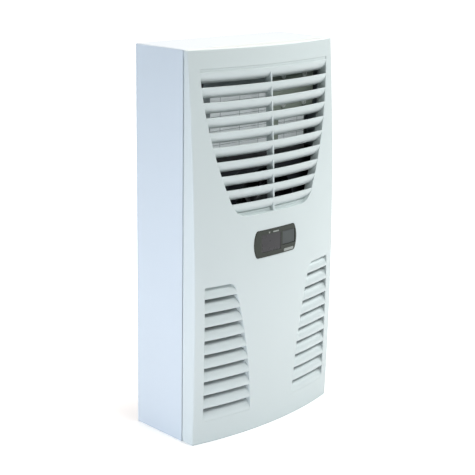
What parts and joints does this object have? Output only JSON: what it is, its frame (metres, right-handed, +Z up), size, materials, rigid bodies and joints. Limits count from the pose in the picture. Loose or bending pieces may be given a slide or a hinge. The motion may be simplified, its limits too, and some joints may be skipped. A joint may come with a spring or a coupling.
{
  "type": "enclosure cooling unit",
  "caption": "Wall-mounted cooling unit for an electrical enclosure: sheet-metal housing, bowed front cover with slatted grilles and a display, and a compressor circuit with two fans.",
  "frame": {"origin": "under the middle of the unit, on the plane that it stands on", "axes": "+X to the right as seen from the front, +Y to the back, towards the enclosure's wall, +Z up"},
  "size_m": [0.28, 0.1399, 0.55],
  "materials": {
    "housing_paint": "fine textured powder coat, light grey",
    "zinc_sheet": "galvanised sheet with a faint spangle",
    "foam_black": "closed-cell foam",
    "zinc_hardware": "bright zinc plated",
    "guard_wire": "bright plated wire",
    "label_silver": "satin film",
    "motor_black": "semi-gloss black",
    "shaft_steel": "ground steel",
    "wheel_plastic": "moulded, matte",
    "fin_aluminium": "thin bright sheet",
    "copper": "drawn copper, slightly dulled",
    "valve_brass": "machined",
    "tray_plastic": "moulded, matte",
    "hose_rubber": "matte",
    "compressor_black": "satin black enamel",
    "fan_plate_paint": "satin dark grey",
    "box_paint": "grey-green satin",
    "board_green": "solder resist",
    "capacitor_can": "drawn can",
    "terminal_green": "moulded",
    "clip_nylon": "natural nylon",
    "cover_plastic": "fine grained moulding, light grey",
    "bezel_plastic": "fine grained, dark olive grey",
    "window_plastic": "smoked and polished",
    "key_rubber": "matte silicone"
  },
  "bodies": {
    "chassis": {"housing_shell": "housing_paint", "rear_panel": "zinc_sheet", "rear_gasket": "foam_black", "mounting_nuts": "zinc_hardware", "inlet_guard": "guard_wire", "divider_wall": "zinc_sheet", "cold_side_foam": "foam_black", "fan_bay_box": "zinc_sheet", "fan_bay_foam": "foam_black", "rating_label": "label_silver", "inner_fan_motor": "motor_black", "inlet_bell": "zinc_sheet", "intake_sensor": "wheel_plastic", "evaporator_fins": "fin_aluminium", "evaporator_tubes": "copper", "evaporator_end_plates": "zinc_sheet", "condensate_tray": "tray_plastic", "drain_hose": "hose_rubber", "drain_spigot": "tray_plastic", "compressor_shell": "compressor_black", "compressor_base": "compressor_black", "compressor_feet": "hose_rubber", "compressor_bolts": "zinc_hardware", "compressor_terminal_cover": "wheel_plastic", "condenser_fins": "fin_aluminium", "condenser_tubes": "copper", "condenser_end_plates": "zinc_sheet", "outer_fan_plate": "fan_plate_paint", "outer_fan_motor": "motor_black", "filter_dryer": "copper", "dryer_bracket": "zinc_sheet", "expansion_valve": "valve_brass", "hot_gas_pipe": "copper", "liquid_pipe": "copper", "suction_pipe": "copper", "electrics_box": "box_paint", "electrics_lid": "box_paint", "lid_screws": "zinc_hardware", "wiring_label": "label_silver", "control_board": "board_green", "run_capacitor": "capacitor_can", "terminal_header": "terminal_green", "cover_clips": "clip_nylon"},
    "cover": {"front_cover": "cover_plastic", "display_bezel": "bezel_plastic", "display_window": "window_plastic", "display_board": "board_green"},
    "outer_fan": {"outer_fan_shaft": "shaft_steel", "outer_fan_wheel": "wheel_plastic"},
    "inner_fan": {"inner_fan_shaft": "shaft_steel", "inner_fan_wheel": "wheel_plastic"},
    "key": {"display_key": "key_rubber"},
    "plug": {"terminal_plug": "terminal_green"}
  },
  "joints": [
    {"name": "cover_pull", "type": "slide", "parent": "chassis", "child": "cover", "axis": [0, -1, 0], "range_m": [0, 0.04]},
    {"name": "outer_fan_spin", "type": "hinge", "parent": "chassis", "child": "outer_fan", "pos_m": [0, -0.03, 0.321], "axis": [0, -1, 0], "continuous": true},
    {"name": "inner_fan_spin", "type": "hinge", "parent": "chassis", "child": "inner_fan", "pos_m": [-0.0415, 0.02, 0.46], "axis": [0, 1, 0], "continuous": true},
    {"name": "key_press", "type": "slide", "parent": "cover", "child": "key", "axis": [0, 1, 0], "range_m": [0, 0.0008], "stiffness_N_per_m": 400},
    {"name": "plug_pull", "type": "slide", "parent": "chassis", "child": "plug", "axis": [0, 1, 0], "range_m": [0, 0.015]}
  ]
}
